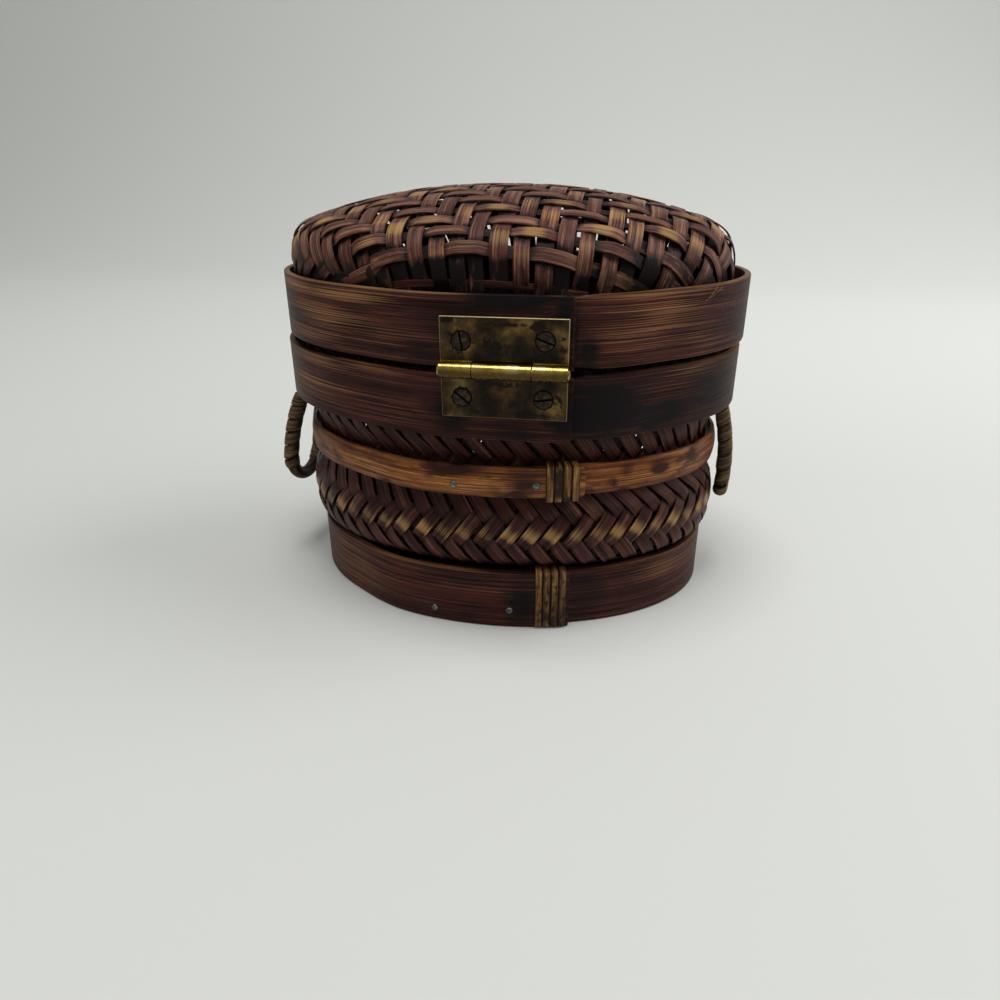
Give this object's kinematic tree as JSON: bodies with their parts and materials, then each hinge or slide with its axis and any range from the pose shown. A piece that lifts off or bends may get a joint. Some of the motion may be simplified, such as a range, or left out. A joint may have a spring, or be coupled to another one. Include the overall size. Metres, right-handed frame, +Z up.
{
  "type": "wicker trinket box",
  "caption": "Oval lidded trinket box of woven split bamboo with bent hoops, a brass butt hinge on one long side and a cane-wrapped loop handle at each end.",
  "frame": {"origin": "on the floor, under the middle of the whole box's outline", "axes": "+Z up, X along the oval's long axis through the two handles, the hinge on the -Y side"},
  "size_m": [0.1688, 0.1216, 0.1362],
  "materials": {
    "stained_bamboo": "stained and varnished bent strip, satin",
    "half_round_bamboo": "stained half-round strip, satin",
    "woven_bamboo": "stained flat splints, worn to tan on the crowns",
    "binding_cane": "split cane, worn",
    "handle_cane": "flat cane wrap, satin",
    "handle_rod": "dark stained rod",
    "brass": "tarnished sheet, polished knuckles",
    "dark_steel": "darkened steel"
  },
  "bodies": {
    "basket": {"woven_basket": "woven_bamboo", "base_hoop": "stained_bamboo", "base_binding": "binding_cane", "base_nail_1": "dark_steel", "base_nail_2": "dark_steel", "waist_hoop": "half_round_bamboo", "waist_binding": "binding_cane", "waist_nail_1": "dark_steel", "waist_nail_2": "dark_steel", "rim_hoop": "stained_bamboo", "rim_liner": "stained_bamboo", "left_handle_core": "handle_rod", "left_handle_wrap_1": "handle_cane", "left_handle_wrap_2": "handle_cane", "right_handle_core": "handle_rod", "right_handle_wrap_1": "handle_cane", "right_handle_wrap_2": "handle_cane", "hinge_lower_leaf": "brass", "hinge_pin": "brass", "hinge_screw_3": "dark_steel", "hinge_screw_4": "dark_steel"},
    "lid": {"lid_weave": "woven_bamboo", "lid_hoop": "stained_bamboo", "lid_liner": "stained_bamboo", "hinge_upper_leaf": "brass", "hinge_screw_1": "dark_steel", "hinge_screw_2": "dark_steel"}
  },
  "joints": [
    {"name": "lid_hinge", "type": "hinge", "parent": "basket", "child": "lid", "pos_m": [0.00986, -0.05851, 0.0903], "axis": [1, 0, 0], "range_deg": [0, 175]}
  ]
}
